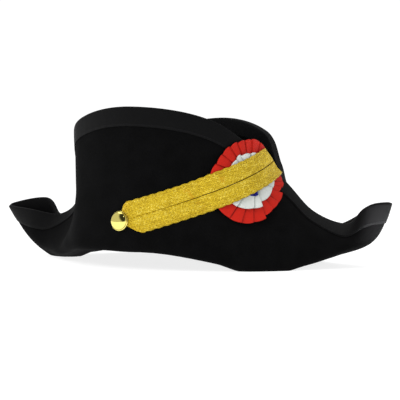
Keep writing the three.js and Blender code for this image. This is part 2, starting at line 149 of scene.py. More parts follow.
# %% Smooth columns and the four places of a section
PLACE_HEIGHTS = {"fold": FRONT_HEADLINE, "wall": FLAP_HEIGHT, "edge": FLAP_HEIGHT}


def section_column(name, turn):
    """One column of the table at any turn, on a smooth curve through the rows."""
    values = SECTION_ROWS[:, SECTION_COLUMNS.index(name)]
    place = np.asarray(turn, float) / SECTION_STEP
    row = np.floor(place).astype(int)
    t = place - row
    a, b, c, d = (values[(row + k) % len(values)] for k in (-1, 0, 1, 2))
    slope, next_slope = (c - a) / 2, (d - b) / 2
    bend = 3 * (c - b) - 2 * slope - next_slope
    twist = 2 * (b - c) + slope + next_slope
    return b + t * (slope + t * (bend + t * twist))


def headline(turn):
    """The felt's middle where crown and brim meet."""
    angle = np.radians(turn)
    height = FRONT_HEADLINE + (SIDE_HEADLINE - FRONT_HEADLINE) * np.cos(angle) ** 2
    across = (HEAD_WIDTH + FELT) / 2 * np.cos(angle)
    return np.stack((across, -(HEAD_DEPTH + FELT) / 2 * np.sin(angle), height), -1)


def section_places(turn):
    """Headline, fold, wall and edge of the sections at these turns."""
    fold, wall, edge = (np.stack((section_column(name + "_x", turn) * half_length,
                                  section_column(name + "_y", turn) * half_depth,
                                  section_column(name + "_z", turn) * height), -1)
                        for name, height in PLACE_HEIGHTS.items())
    edge[..., 1] += section_column("lip", turn) * lip_offset
    return np.stack((headline(turn), fold, wall, edge), -2)


def section_length(turn):
    """Length of a section from headline to edge, along its three spans."""
    return np.linalg.norm(np.diff(section_places(turn), axis=-2), axis=-1).sum(-1)


print("section lengths, mm:", np.round(section_length(np.arange(0, 360, 45)), 1))


# %% Any point of the felt
def pick(values, index):
    """The row of each section that belongs to its span."""
    return np.take_along_axis(values, index[..., None, None], -2)[..., 0, :]


def brim_point(turn, share):
    """Middle of the brim's felt, on a smooth curve through the four places of its section.

    Share 0 is the headline, 1 the edge, and more goes straight on.
    """
    places = section_places(turn)
    steps = np.diff(places, axis=-2)
    spans = np.linalg.norm(steps, axis=-1)
    ways = steps / spans[..., None]
    s0, s1, s2 = (spans[..., k, None] for k in range(3))
    w0, w1, w2 = (ways[..., k, :] for k in range(3))
    t1 = (w0 * s1 + w1 * s0) / (s0 + s1)
    t2 = (w1 * s2 + w2 * s1) / (s1 + s2)
    tangents = np.stack((1.5 * w0 - 0.5 * t1, t1, t2, 1.5 * w2 - 0.5 * t2), -2)
    total = spans.sum(-1)
    distance = share * total
    past = np.maximum(distance - total, 0)[..., None]
    distance = np.minimum(distance, total)
    ends = np.cumsum(spans, -1)
    span = (distance > ends[..., 0]).astype(int) + (distance > ends[..., 1])
    length = np.take_along_axis(spans, span[..., None], -1)
    start = np.take_along_axis(ends, span[..., None], -1) - length
    t = (distance[..., None] - start) / length
    blend = t * t * (3 - 2 * t)
    point = pick(places, span) * (1 - blend) + pick(places, span + 1) * blend
    point = point + pick(tangents, span) * length * t * (1 - t) ** 2
    point = point - pick(tangents, span + 1) * length * t * t * (1 - t)
    point[..., 2] = np.maximum(point[..., 2], FELT / 2)
    return point + tangents[..., 3, :] * past


def crown_point(turn, climb):
    """Middle of the crown's felt: climb 0 is the headline, 1 the top."""
    base = headline(turn)
    angle = np.clip(climb, 0, 1) * np.pi / 2
    spread = np.maximum(np.cos(angle), 0) ** (2 / CROWN_SQUARENESS)
    rise = np.sin(angle) ** (2 / CROWN_SQUARENESS)
    top = CROWN_HEIGHT - FELT / 2
    height = base[..., 2] + (top - base[..., 2]) * rise
    return np.stack((base[..., 0] * spread, base[..., 1] * spread, height), -1)


def felt_point(turn, share):
    """Middle of the whole hat's felt: shares below 0 climb the crown and the others cross the brim."""
    turn, share = np.broadcast_arrays(np.asarray(turn, float), np.asarray(share, float))
    brim = brim_point(turn, np.maximum(share, 0))
    return np.where((share < 0)[..., None], crown_point(turn, -share), brim)


print("front edge:", np.round(felt_point(90, 1.0), 1), "right tip:", np.round(felt_point(0, 1.0), 1))

# %% [markdown]
# ## Laying things on the felt
# Trims follow the felt, so they need its normal and a way to walk straight over it. The normal
# comes from small steps both ways. A walk solves at each short step which change of turn and
# share gives the wanted direction. Shrinkwrap could lay flat strips on a mesh too, but a walk
# keeps a ribbon's own length and width exactly.


# %% Directions on the felt and walking over it
WALK_STEP = 2  # the longest


def felt_frame(turn, share):
    """Round the head, towards the edge, and the normal out of the flap's shown face."""
    turn, share = np.broadcast_arrays(np.asarray(turn, float), np.asarray(share, float))
    turn_step, share_step = 0.05, 0.001
    around = (felt_point(turn + turn_step, share) - felt_point(turn - turn_step, share)) / (2 * turn_step)
    up = (felt_point(turn, share + share_step) - felt_point(turn, share - share_step)) / (2 * share_step)
    normal = np.cross(up, around)
    return around, up, normal / np.linalg.norm(normal, axis=-1, keepdims=True)


def lifted_point(turn, share, lift):
    """A point so far off the felt's middle, on the flap's shown side where lift is above 0."""
    return felt_point(turn, share) + felt_frame(turn, share)[2] * np.asarray(lift)[..., None]


def dot(a, b):
    return (a * b).sum(-1)


def unit(v):
    return v / np.linalg.norm(v, axis=-1, keepdims=True)


def walk(turn, share, heading, distance):
    """Ends of straight walks over the felt, all made together, with the headings there."""
    distance = np.asarray(distance, float)
    turn, share = (np.array(np.broadcast_to(v, distance.shape), float) for v in (turn, share))
    heading = np.array(np.broadcast_to(heading, (*distance.shape, 3)), float)
    steps = max(1, math.ceil(np.abs(distance).max() / WALK_STEP))
    for _ in range(steps):
        around, up, normal = felt_frame(turn, share)
        heading = unit(heading - normal * dot(heading, normal)[..., None])
        aa, ab, bb = dot(around, around), dot(around, up), dot(up, up)
        a, b = dot(around, heading), dot(up, heading)
        scale = distance / steps / (aa * bb - ab * ab)
        turn = turn + scale * (bb * a - ab * b)
        share = share + scale * (aa * b - ab * a)
    return turn, share, heading


def level_frame(turn, share):
    """Level and climbing directions on the felt at a place."""
    normal = felt_frame(turn, share)[2]
    level = unit(np.cross((0, 0, 1), normal))
    return level, unit(np.cross(normal, level)), normal


level_way = level_frame(BUTTON_TURN, BUTTON_SHARE)[0]
end_turn, end_share, _ = walk(BUTTON_TURN, BUTTON_SHARE, level_way, np.array([30.0]))
print("30 mm level from the button ends at turn", end_turn.round(2), "share", end_share.round(3))

# %% [markdown]
# ## Where the hat stands in the frame
# The frame's origin is the bottom centre of the whole hat, and the table's origin is the middle
# of the head. The two differ by a level shift, which is read from the felt's own solid.

# %% The shift from head to frame
dense_turns = np.arange(0, 360, 0.5)
wall_shares = np.linspace(0.05, 0.95, 30)
edge_faces = [lifted_point(dense_turns, 1.0, lift) for lift in (-FELT / 2, FELT / 2)]
wall_faces = [lifted_point(dense_turns, share, FELT / 2) for share in wall_shares]
dense_felt = np.vstack((*edge_faces, *wall_faces))
felt_low, felt_high = (np.array(corner) * 1000 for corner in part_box("felt_body"))
shift = (felt_low + felt_high) / 2 - (dense_felt.min(0) + dense_felt.max(0)) / 2
shift[2] = 0
print("shift, mm:", shift.round(2))


def in_frame(points):
    """Millimetres from the head's middle as metres in the frame."""
    return (np.asarray(points) + shift) / 1000


# %% [markdown]
# ## Making meshes
# Every cloth piece here is a closed loop of points, its section, repeated along a path. One helper
# joins such loops into a mesh. It also lays a UV map in millimetres along and across the piece,
# so weaves and stitches can be drawn at their real scale.


# %% Helper that joins sections into a mesh
def loft(name, sections, along, across, ring, finish, node):
    """sections is (stations, points round a section, 3). Ring closes it end to end."""
    stations, corners = sections.shape[:2]
    points = in_frame(sections).reshape(-1, 3)
    nexts = stations if ring else stations - 1
    s, k = np.meshgrid(np.arange(nexts), np.arange(corners), indexing="ij")
    s1, k1 = (s + 1) % stations, (k + 1) % corners
    here, there = s * corners, s1 * corners
    faces = np.stack((here + k, here + k1, there + k1, there + k), -1).reshape(-1, 4).tolist()
    long = np.append(along, 2 * along[-1] - along[-2]) if ring else along
    uv_s = np.stack((s, s, s + 1, s + 1), -1).reshape(-1)
    uv_k = np.stack((k, k + 1, k + 1, k), -1).reshape(-1)
    wide = np.append(across, across[0])
    uvs = np.stack((long[uv_s], wide[uv_k]), -1)
    if not ring:
        faces.append(list(range(corners))[::-1])
        faces.append([(stations - 1) * corners + q for q in range(corners)])
        ends = np.stack((np.full(corners, long[0]), across), -1)
        uvs = np.vstack((uvs, ends[::-1], np.stack((np.full(corners, long[-1]), across), -1)))
    mesh = bpy.data.meshes.new(name)
    mesh.from_pydata(points.tolist(), [], faces)
    layer = mesh.uv_layers.new(name="cloth")
    layer.data.foreach_set("uv", uvs.astype(np.float32).ravel())
    mesh.materials.append(finish.material)
    place_piece(name, mesh, node)


def place_piece(name, mesh, node):
    """Join points that coincide, turn the faces outwards, shade smoothly and tie to solid and body."""
    shape = bmesh.new()
    shape.from_mesh(mesh)
    bmesh.ops.remove_doubles(shape, verts=shape.verts, dist=1e-6)
    volume = shape.calc_volume(signed=True)
    # Join points that coincide, turn the faces outwards, shade smoothly, tie to the body and hide the solid.
    if volume < 0:
        bmesh.ops.reverse_faces(shape, faces=shape.faces)
    triangles = len(shape.calc_loop_triangles())
    shape.to_mesh(mesh)
    shape.free()
    mesh.shade_smooth()
    piece = bpy.data.objects.new(name, mesh)
    bpy.context.scene.collection.objects.link(piece)
    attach(piece, "root")
    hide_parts(node)
    print(name, "triangles", triangles, "volume cm3", round(abs(volume) * 1e6, 2))


# %% [markdown]
# ## Shader maths
# A material's pattern is easiest to read as an expression. This small class wraps a socket, so
# that plus and times add Math nodes. Its maker adds any other node from its type, its settings
# and the values or links of its sockets.


# %% Sockets as numbers
class Flow:
    """A value that runs through a material's nodes."""

    def __init__(self, finish, socket):
        self.finish, self.socket = finish, socket

    def math(self, operation, *others, **settings):
        inputs = dict(enumerate((self, *others)))
        return self.finish.node("ShaderNodeMath", {"operation": operation, **settings}, inputs)[0]

    def __add__(self, other):
        return self.math("ADD", other)

    def __sub__(self, other):
        return self.math("SUBTRACT", other)

    def __rsub__(self, other):
        return self.math("MULTIPLY", -1).math("ADD", other)

    def __mul__(self, other):
        return self.math("MULTIPLY", other)

    def __truediv__(self, other):
        return self.math("DIVIDE", other)

    __radd__, __rmul__ = __add__, __mul__

    def sin(self):
        return self.math("SINE")

    def abs(self):
        return self.math("ABSOLUTE")

    def fract(self):
        return self.math("FRACT")

    def clamped(self):
        return self.math("ADD", 0, use_clamp=True)

    def ramp(self, low, high, to_low=0.0, to_high=1.0):
        """Smooth step from to_low at low to to_high at high."""
        inputs = {"Value": self, "From Min": low, "From Max": high, "To Min": to_low, "To Max": to_high}
        return self.finish.node("ShaderNodeMapRange", {"interpolation_type": "SMOOTHSTEP"}, inputs)[0]


class Finish:
    """A material under construction."""

    def __init__(self, name, **constants):
        self.material = bpy.data.materials.new(name)
        self.material.use_nodes = True
        self.tree = self.material.node_tree
        self.shader = self.tree.nodes["Principled BSDF"]
        for socket, value in constants.items():
            self.shader.inputs[socket.replace("_", " ")].default_value = value

    def node(self, kind, settings=None, inputs=None):
        """Adds any node and gives its outputs, ready for maths."""
        made = self.tree.nodes.new(kind)
        for setting, value in (settings or {}).items():
            setattr(made, setting, value)
        for socket, value in (inputs or {}).items():
            self.feed(made.inputs[socket], value)
        return [Flow(self, socket) for socket in made.outputs if socket.enabled]

    def feed(self, socket, value):
        """Links a flow to a socket, or sets a plain value on it."""
        if isinstance(value, Flow):
            self.tree.links.new(value.socket, socket)
        else:
            socket.default_value = value

    def drive(self, **sockets):
        """Feeds the shader's own sockets."""
        for socket, value in sockets.items():
            self.feed(self.shader.inputs[socket.replace("_", " ")], value)

    def cloth(self):
        """Millimetres along and across a lofted piece."""
        vector = self.node("ShaderNodeUVMap", {"uv_map": "cloth"})[0]
        return self.node("ShaderNodeSeparateXYZ", None, {0: vector})[:2]

    def place(self):
        """Metres in the piece's own coordinates."""
        return self.node("ShaderNodeTexCoord")[3]

    def noise(self, vector, scale, detail=2.0, roughness=0.5):
        inputs = {"Vector": vector, "Scale": scale, "Detail": detail, "Roughness": roughness}
        return self.node("ShaderNodeTexNoise", None, inputs)[0]

    def blend(self, factor, first, second):
        """A colour between two others."""
        made = self.tree.nodes.new("ShaderNodeMix")
        made.data_type = "RGBA"
        for name, value in (("Factor", factor), ("A", first), ("B", second)):
            socket = next(s for s in made.inputs if s.name == name and s.enabled)
            self.feed(socket, value)
        return Flow(self, next(s for s in made.outputs if s.enabled))

    def relief(self, height, depth, strength):
        """A bump whose height of 1 is depth metres."""
        inputs = {"Height": height, "Distance": depth, "Strength": strength}
        return self.node("ShaderNodeBump", None, inputs)[0]


# %% [markdown]
# ## Black felt
# Wool felt is a mat of fine fibres with no weave. It takes almost all light and gives a faint soft
# glow where it is seen edge on. A very dark base with sheen gives that. Two noises make the mottled
# mat and the short nap. A photograph of felt could be mapped on instead, but noise has no seams.

# %% Felt finish
felt = Finish("wool felt black", Roughness=0.95, Sheen_Weight=0.014, Sheen_Roughness=0.4,
              Sheen_Tint=(0.7, 0.7, 0.72, 1), Specular_IOR_Level=0.04)
felt_place = felt.place()
mottle = felt.noise(felt_place, 55, 3)
nap = felt.noise(felt_place, 900, 3, 0.65)
fibres = felt.noise(felt_place, 2600, 2, 0.6)
felt_mix = (mottle * 0.55 + nap * 0.45).ramp(0.3, 0.7)
FELT_DARK = (0.0022, 0.0022, 0.0023, 1)
FELT_PALE = (0.0038, 0.0038, 0.0040, 1)
felt.drive(Base_Color=felt.blend(felt_mix, FELT_DARK, FELT_PALE),
           Normal=felt.relief(nap * 0.7 + fibres * 0.3, 0.0005, 0.55))
print("felt nodes:", len(felt.tree.nodes))

# %% [markdown]
# ## Felt body
# The sheet has two faces 3 mm apart. Rings run from the crown's top down to the headline and on to
# the edge. Stations round the head are closer where the edge bends sharply. A Solidify modifier
# could give the thickness, but two lifted grids keep the shown face exactly where the trims lie.


# %% Stations round the hat
FOLD_WEIGHT = 0.4  # what a millimetre of the fold counts beside one of the edge
BEND_WEIGHT = 22  # millimetres that a radian of the edge's bend counts as


def even_turns(count):
    """Turns that share out the edge, closer where it turns sharply."""
    samples = np.linspace(0, 360, 1441)
    edge = section_places(samples)[:, 3]
    fold = section_places(samples)[:, 1]
    steps = np.diff(edge, axis=0)
    before = np.roll(steps, 1, 0)
    angle = np.arccos(np.clip(dot(unit(steps), unit(before)), -1, 1))
    fold_steps = np.linalg.norm(np.diff(fold, axis=0), axis=1)
    weight = np.linalg.norm(steps, axis=1) + FOLD_WEIGHT * fold_steps + BEND_WEIGHT * angle
    total = np.append(0, np.cumsum(weight))
    return np.interp(np.arange(count) * total[-1] / count, total, samples)


FELT_STATIONS = 300
CROWN_RINGS = 26
BRIM_RINGS = 56
felt_turns = even_turns(FELT_STATIONS)
crown_shares = -np.linspace(0.985, 0, CROWN_RINGS, endpoint=False)
near_top = -0.999  # this ring is drawn together into one point
felt_shares = np.concatenate(([near_top], crown_shares, np.linspace(0, 1, BRIM_RINGS)))
print("felt grid:", FELT_STATIONS, "x", len(felt_shares))

# %% Felt sheet
turn_grid, share_grid = np.meshgrid(felt_turns, felt_shares, indexing="ij")
# The flap's shown face goes on as the crown's inside, and its hidden face as the crown's outside.
shown = lifted_point(turn_grid, share_grid, FELT / 2)
hidden = lifted_point(turn_grid, share_grid, -FELT / 2)
shown[..., 2] = np.maximum(shown[..., 2], 0)
shown[:, 0] = (0, 0, CROWN_HEIGHT - FELT)
hidden[:, 0] = (0, 0, CROWN_HEIGHT)
# The loop of a station goes down one face of the sheet and back up the other.
felt_sections = np.concatenate((shown, hidden[:, ::-1]), 1)
# The felt's finish has no pattern, so its map needs only rough millimetres.
ROUGH_REACH = 150
ROUGH_STEP = 4.0
felt_across = np.concatenate((felt_shares, felt_shares[::-1])) * ROUGH_REACH
felt_along = np.arange(FELT_STATIONS) * ROUGH_STEP
loft("hat_felt", felt_sections, felt_along, felt_across, True, felt, "felt_body")

# %% [markdown]
# ## Ribbon finish
# The binding is grosgrain, a ribbon with fine ribs straight across it. The ribs are a sine along
# the ribbon's length. A row of short stitches holds it near each free border.

# %% Grosgrain finish
RIB_PITCH = 0.9
STITCH_PITCH = 3.2
STITCH_INSET = 2.0
RIBBON_DARK = (0.0032, 0.0032, 0.0034, 1)
RIBBON_PALE = (0.0058, 0.0058, 0.0061, 1)
STITCH_GREY = (0.010, 0.010, 0.011, 1)
grosgrain = Finish("grosgrain black", Sheen_Weight=0.016, Sheen_Roughness=0.35,
                   Sheen_Tint=(0.7, 0.7, 0.72, 1), Specular_IOR_Level=0.07)
along, across = grosgrain.cloth()
rib = (along * (2 * math.pi / RIB_PITCH)).sin() * 0.5 + 0.5
thread = (along / STITCH_PITCH).fract()
stitch_row = 1 - ((across.abs() - (RIBBON_WIDTH - STITCH_INSET)).abs() / 0.35).clamped()
stitch = stitch_row * thread.ramp(0.08, 0.2) * (1 - thread.ramp(0.7, 0.82))
cloth_noise = grosgrain.noise(grosgrain.place(), 160, 3)
ribbon_colour = grosgrain.blend(rib * 0.6 + cloth_noise * 0.4, RIBBON_DARK, RIBBON_PALE)
ribbon_colour = grosgrain.blend(stitch, ribbon_colour, STITCH_GREY)
grosgrain.drive(Base_Color=ribbon_colour, Roughness=0.5 + rib * 0.2,
                Normal=grosgrain.relief(rib * 0.5 + stitch * 1.2, 0.00016, 0.8))
print("grosgrain nodes:", len(grosgrain.tree.nodes))

# %% [markdown]
# ## Binding
# The ribbon is folded in half over the brim's edge. Its section is a long narrow U. It follows the
# edge all the way round, and its free borders pucker a little between the stitches.


# %% Stations and border of the ribbon
RIBBON_STATIONS = 640
LEG_ROWS = 8
TURN_ROWS = 7
RIBBON_UNDERSIDE = 0.15  # over the clearance that the solids leave on the felt
ribbon_turns = even_turns(RIBBON_STATIONS)
edge_points = section_places(ribbon_turns)[:, 3]
edge_steps = np.linalg.norm(np.roll(edge_points, -1, 0) - edge_points, axis=1)
ribbon_along = np.append(0, np.cumsum(edge_steps))[:-1]
ribbon_shares = 1 - RIBBON_WIDTH / section_length(ribbon_turns)
pucker = 0.13  # how far the ribbon's free border stands off on average
for height, length in ((0.08, 11), (0.05, 29)):
    pucker = pucker + height * np.sin(ribbon_along * 2 * np.pi / length)
print("edge of the brim, mm:", round(float(edge_steps.sum())))


# %% Ribbon over the edge
def ribbon_leg(depth, side):
    """Rows of one face of a leg, from its border to the edge. Side is 1 for the shown leg."""
    snug = CLEARANCE + depth * 0.5 - 0.12  # how much closer the ribbon lies at its border
    rows = []
    for t in np.linspace(0, 1, LEG_ROWS):
        lift = FELT / 2 + CLEARANCE + depth + (pucker - snug) * (1 - t) ** 2
        place = lifted_point(ribbon_turns, ribbon_shares + (1 - ribbon_shares) * t, side * lift)
        rows.append((place, side * RIBBON_WIDTH * (1 - t)))
    return rows


def ribbon_turn(depth):
    """Rows of one face round the brim's edge."""
    _, up, normal = felt_frame(ribbon_turns, 1.0)
    rows = []
    for angle in np.linspace(0, np.pi, TURN_ROWS + 2)[1:-1]:
        past = unit(up) * (CLEARANCE + depth) * np.sin(angle) ** 0.6
        lift = normal * (FELT / 2 + CLEARANCE + depth) * np.cos(angle)
        rows.append((felt_point(ribbon_turns, 1.0) + past + lift, 0.0))
    return rows


def ribbon_face(depth):
    """Rows of one face, from the shown leg's border over the edge to the hidden one."""
    return ribbon_leg(depth, 1) + ribbon_turn(depth) + ribbon_leg(depth, -1)[::-1]


ribbon_rows, ribbon_across = zip(*ribbon_face(RIBBON), *ribbon_face(RIBBON_UNDERSIDE)[::-1])
loft("hat_binding", np.stack(ribbon_rows, 1), ribbon_along, np.array(ribbon_across), True,
     grosgrain, "rim_binding")

# %% [markdown]
# ## Cockade ribbons
# A cockade is a ribbon gathered into knife pleats round a point. Each pleat is a flat panel that
# rises to a fold and drops sharply behind the next. The three colours are three rings laid on each
# other. Their satin has a fine weave, and painted shade darkens its colour in the folds and towards
# the gathered middle. Cloth simulation could gather a ribbon, but pleats given one by one keep the
# count and width that the real one shows.


# %% Satin finish
SATIN_PITCH = 0.45


def satin(name, shade, fold_shade_colour, roughness):
    """A smooth ribbon in one colour, with painted shade at the bottom of its pleats and near its middle."""
    made = Finish(name, Sheen_Weight=0.05, Sheen_Roughness=0.4, Sheen_Tint=shade, Specular_IOR_Level=0.12)
    fold, out = made.cloth()
    weave = (out * (2 * math.pi / SATIN_PITCH)).sin() * 0.5 + 0.5
    streaks = made.noise(made.place(), 260, 3)
    part = fold.fract()
    chance = ((fold - part) * 3.71).sin() * 0.5 + 0.5
    uneven = made.noise(made.place(), 95, 2).ramp(0.35, 0.65)
    # Painted shade: the colour darkens in the creases and towards the gathered middle, where shade falls.
    gather = 1 - out.ramp(1.0, 14.0)
    crease_shade = (1 - part.ramp(0.0, 0.16)) + part.ramp(0.94, 1.0) * 0.6
    shadow = (1 - part.ramp(0.0, 0.5)) * gather * 0.45
    depth = crease_shade * (chance * 0.35 + uneven * 0.4 + gather * 0.6) + shadow
    colour = made.blend((depth + streaks * 0.22 - 0.06).clamped(), shade, fold_shade_colour)
    made.drive(Base_Color=colour, Roughness=roughness + weave * 0.08,
               Normal=made.relief(weave * 0.3 + streaks * 0.7, 0.00012, 0.6))
    return made


satin_red = satin("satin red", (0.53, 0.015, 0.007, 1), (0.09, 0.003, 0.003, 1), 0.55)
satin_white = satin("satin white", (0.65, 0.68, 0.65, 1), (0.12, 0.145, 0.12, 1), 0.5)
satin_blue = satin("satin blue", (0.008, 0.011, 0.19, 1), (0.003, 0.004, 0.05, 1), 0.45)
print("satin nodes:", len(satin_red.tree.nodes))

# %% Heights of the layers over the felt's middle
red_lift = FELT / 2 + CLEARANCE + RIBBON + TRIM_CLEARANCE
white_lift = red_lift + RED_THICKNESS + CLEARANCE
blue_lift = white_lift + WHITE_THICKNESS + CLEARANCE
cockade_top = blue_lift + BLUE_THICKNESS + PLEAT_DEPTH + CLEARANCE
cockade_edge_top = red_lift + RED_THICKNESS + PLEAT_DEPTH + CLEARANCE
print("lifts, mm:", red_lift, white_lift, blue_lift, "braid over it at", cockade_top)

# %% Pleats listed one by one
# One row a pleat: where it starts in degrees from level, its reach from the centre at its tucked
# side and at its fold, and how high the fold stands. The flattest ones lie under the braid.
RED_PLEATS = (
    (-1, 44.5, 45, 1.0), (13, 44, 43, 0.6), (31, 43, 43, 0.5), (47, 44, 45, 1.0), (62, 45.5, 42.8, 1.5),
    (79.5, 42, 40.2, 1.4), (94, 40.6, 39.3, 1.5), (108, 40.6, 39.6, 1.5), (122, 40.6, 39.8, 1.3),
    (137, 40.2, 40.0, 1.4), (153, 40.8, 43.2, 1.3), (168, 43.6, 44.2, 0.6), (187, 44, 44.6, 0.5),
    (206, 45, 44.8, 1.2), (229, 44.8, 43.8, 1.6), (245, 43.4, 41.4, 1.2), (261, 40.6, 39.2, 1.5),
    (281, 36.2, 34.4, 1.4), (300, 34.6, 35.2, 1.2), (318, 35.8, 38.0, 1.8), (339, 34.0, 38.0, 1.5),
    (350, 40.5, 43.5, 1.2),
)
WHITE_PLEATS = (
    (5, 28.5, 28.5, 0.5), (40, 28.5, 28.6, 0.6), (66, 28.4, 27.4, 1.8), (87, 26.6, 26.8, 1.9),
    (114, 28.6, 27.4, 1.2), (127, 26.6, 27.6, 1.3), (150, 28, 29.8, 0.6), (180, 30, 31.4, 0.5),
    (208, 32, 32, 1.6), (228, 31.4, 27.4, 1.8), (261, 27.4, 27.0, 2.0), (280, 21.8, 22.6, 1.9),
    (341, 25, 28.4, 1.2),
)
BLUE_PLEATS = tuple((30 * k, 12.8, 13.1, 0.5) for k in range(8)) + (
    (236, 15.2, 16.0, 0.6), (258, 15.8, 14.8, 0.6), (277, 9.6, 9.8, 0.3), (304, 9.6, 9.9, 0.3),
    (332, 10.0, 12.4, 0.4),
)
print("pleats:", len(RED_PLEATS), len(WHITE_PLEATS), len(BLUE_PLEATS))


# %% Pleated rings
PANEL_STEPS = np.array((0.0, 0.03, 0.08, 0.16, 0.28, 0.42, 0.56, 0.7, 0.82, 0.91, 0.96, 0.985))
RING_STEPS = 15
RED_TUCK = 7  # how far a ring reaches in under the next one
WHITE_TUCK = 5
EYE_RADIUS = 0.8  # of the hole in the middle of the blue ribbon
SATIN = 0.6
THIN_SATIN = 0.5


def panel_rise(t):
    """Height of a pleat's panel from its tucked side to its fold, as a share of its depth."""
    return np.where(t < 0.965, np.sin(np.clip(t / 0.96, 0, 1) * np.pi / 2) ** 0.75, (1 - t) / 0.035)


def pleated_ring(name, pleats, inner_radius, lift, thickness, finish, node):
    """A closed ring of ribbon from its table of pleats."""
    level, climb, _ = level_frame(COCKADE_TURN, COCKADE_SHARE)
    start, tucked, folded_reach, depth = np.array(pleats).T
    width = (np.roll(start, -1) - start) % 360
    pleat = np.repeat(np.arange(len(pleats)), len(PANEL_STEPS))
    t = np.tile(PANEL_STEPS, len(pleats))
    angle = np.radians(start[pleat] + t * width[pleat])
    heading = level * np.cos(angle)[:, None] + climb * np.sin(angle)[:, None]
    shares = np.linspace(0, 1, RING_STEPS)
    rim = tucked[pleat] + (folded_reach - tucked)[pleat] * t + 0.5 * np.sin(t * np.pi)
    radii = inner_radius + (rim[:, None] - inner_radius) * shares
    tall = depth[pleat][:, None]
    rise = panel_rise(t)[:, None] * tall * (0.45 + 0.55 * shares)
    wave = np.sin(shares * 4.2 + pleat[:, None] * 1.7)
    swell = 0.35 * tall * wave * shares * np.sin(t * np.pi)[:, None]
    turn, share, _ = walk(COCKADE_TURN, COCKADE_SHARE, heading[:, None, :], radii)
    top = lifted_point(turn, share, lift + thickness + rise + swell)
    bottom = lifted_point(turn, share, lift + 0.9 * rise + swell)
    sections = np.concatenate((top, bottom[:, ::-1]), 1)
    widths = np.concatenate((shares, shares[::-1])) * (rim.mean() - inner_radius)
    loft(name, sections, pleat + t, widths, True, finish, node)


pleated_ring("cockade_outer", RED_PLEATS, WHITE_RADIUS - RED_TUCK, red_lift, SATIN,
             satin_red, "cockade_red")
pleated_ring("cockade_middle", WHITE_PLEATS, BLUE_RADIUS - WHITE_TUCK, white_lift, SATIN,
             satin_white, "cockade_white")
pleated_ring("cockade_inner", BLUE_PLEATS, EYE_RADIUS, blue_lift, THIN_SATIN,
             satin_blue, "cockade_blue")

# %% [markdown]
# ## Gold braid finish
# The braid is woven from flat metallic thread on a yellow core. Its face has zigzag rows, and each
# small thread catches the light at its own angle, which gives the glitter. Here that glitter is
# painted highlight in the colour, and the gaps and grooves between threads get painted shade. Zigzags
# come from the distance along plus a folded distance across. Each thread gets a painted highlight of
# its own brightness, and a fine noise breaks it up. An image of braid could be mapped on instead, but
# would blur from close by.
# A row of slits runs inside the outer border, which is darker. Painted brown shade lies in the seam
# between the two runs and fades out towards the button, and the start of the braid is rubbed more
# orange.

# %% Gold braid finish
braid_gold = Finish("gold braid", Specular_IOR_Level=0.2)
along, across = braid_gold.cloth()
ROW = 1.7
DASH = 3.0
row = across / ROW
row_part = row.fract()
row_number = row - row_part
zigzag = ((row * 0.5).fract() - 0.5).abs() * 2
slide = along / DASH + zigzag * 0.9 + row_number * 0.5
dash = slide.fract()
gap = (1 - dash.ramp(0.0, 0.2)) + dash.ramp(0.84, 1.0)
groove = (1 - row_part.ramp(0.0, 0.22)) + row_part.ramp(0.8, 1.0)
print("braid rows, mm:", ROW, "threads, mm:", DASH)

# %% Painted glitter of the single threads
TWIST_PITCH = 0.75
SLIT_PITCH = 3.7
SLIT_INSET = 2.6
thread_place = braid_gold.node("ShaderNodeCombineXYZ", None, {0: slide - dash, 1: row_number})[0]
glint = braid_gold.node("ShaderNodeTexWhiteNoise", None, {"Vector": thread_place})[0]
twist = ((along + zigzag * 1.1) * (2 * math.pi / TWIST_PITCH)).sin() * 0.5 + 0.5
glitter = braid_gold.noise(braid_gold.place(), 760, 2, 0.7).ramp(0.3, 0.7)
clouds = braid_gold.noise(braid_gold.place(), 90, 3)
sparkle = (glitter * 0.6 + glint * 0.4).ramp(0.62, 0.88)
weave = (1 - gap * 0.8) * (1 - groove * 0.55)
slit_row = 1 - ((across - (BRAID_WIDTH / 2 - SLIT_INSET)).abs() / 0.7).clamped()
slits = slit_row * (along / SLIT_PITCH).fract().ramp(0.45, 0.55)
# Painted light: shade in the gaps and grooves, highlights on twists, single threads and glitter, and random
# clouds of tone.
lit = (weave * 0.42 + twist * 0.06 + glint * 0.3 + glitter * 0.42 + clouds * 0.2 - 0.2).clamped()
print("braid nodes so far:", len(braid_gold.tree.nodes))

# %% Colours of the braid
# The braid's colour runs from painted shade to painted light.
GOLD_SHADE = (0.23, 0.13, 0.002, 1)
GOLD_LIT = (0.86, 0.61, 0.022, 1)
orange_end = (1 - along.ramp(-2.0, 16.0)) * 0.35
rubbed = braid_gold.noise(braid_gold.place(), 75, 2).ramp(0.66, 0.74) * 0.4
# Painted shade in the gap between the two runs, fading out towards the button.
seam = (1 - across.ramp(-BRAID_WIDTH / 2, 0.55 - BRAID_WIDTH / 2)) * along.ramp(25.0, 90.0, 0.15, 0.9)
layers = (
    # painted highlights on single threads
    (sparkle * 0.65, (0.96, 0.79, 0.15, 1)),  # bright specks
    (slits * 0.55, (0.20, 0.10, 0.002, 1)),
    (across.ramp(7.2, 8.4) * 0.55, (0.20, 0.13, 0.004, 1)),  # darker border
    ((orange_end + rubbed).clamped(), (0.62, 0.30, 0.006, 1)),
    (seam, (0.045, 0.015, 0.001, 1)),
)
gold_colour = braid_gold.blend(lit, GOLD_SHADE, GOLD_LIT)
for strength, colour in layers:
    gold_colour = braid_gold.blend(strength, gold_colour, colour)
braid_gold.drive(Base_Color=gold_colour, Roughness=0.5 - sparkle * 0.25, Metallic=0.15 + sparkle * 0.3,
                 Normal=braid_gold.relief(weave * 0.6 + twist * 0.15 + glitter * 0.4, 0.0005, 0.9))
print("braid nodes:", len(braid_gold.tree.nodes))

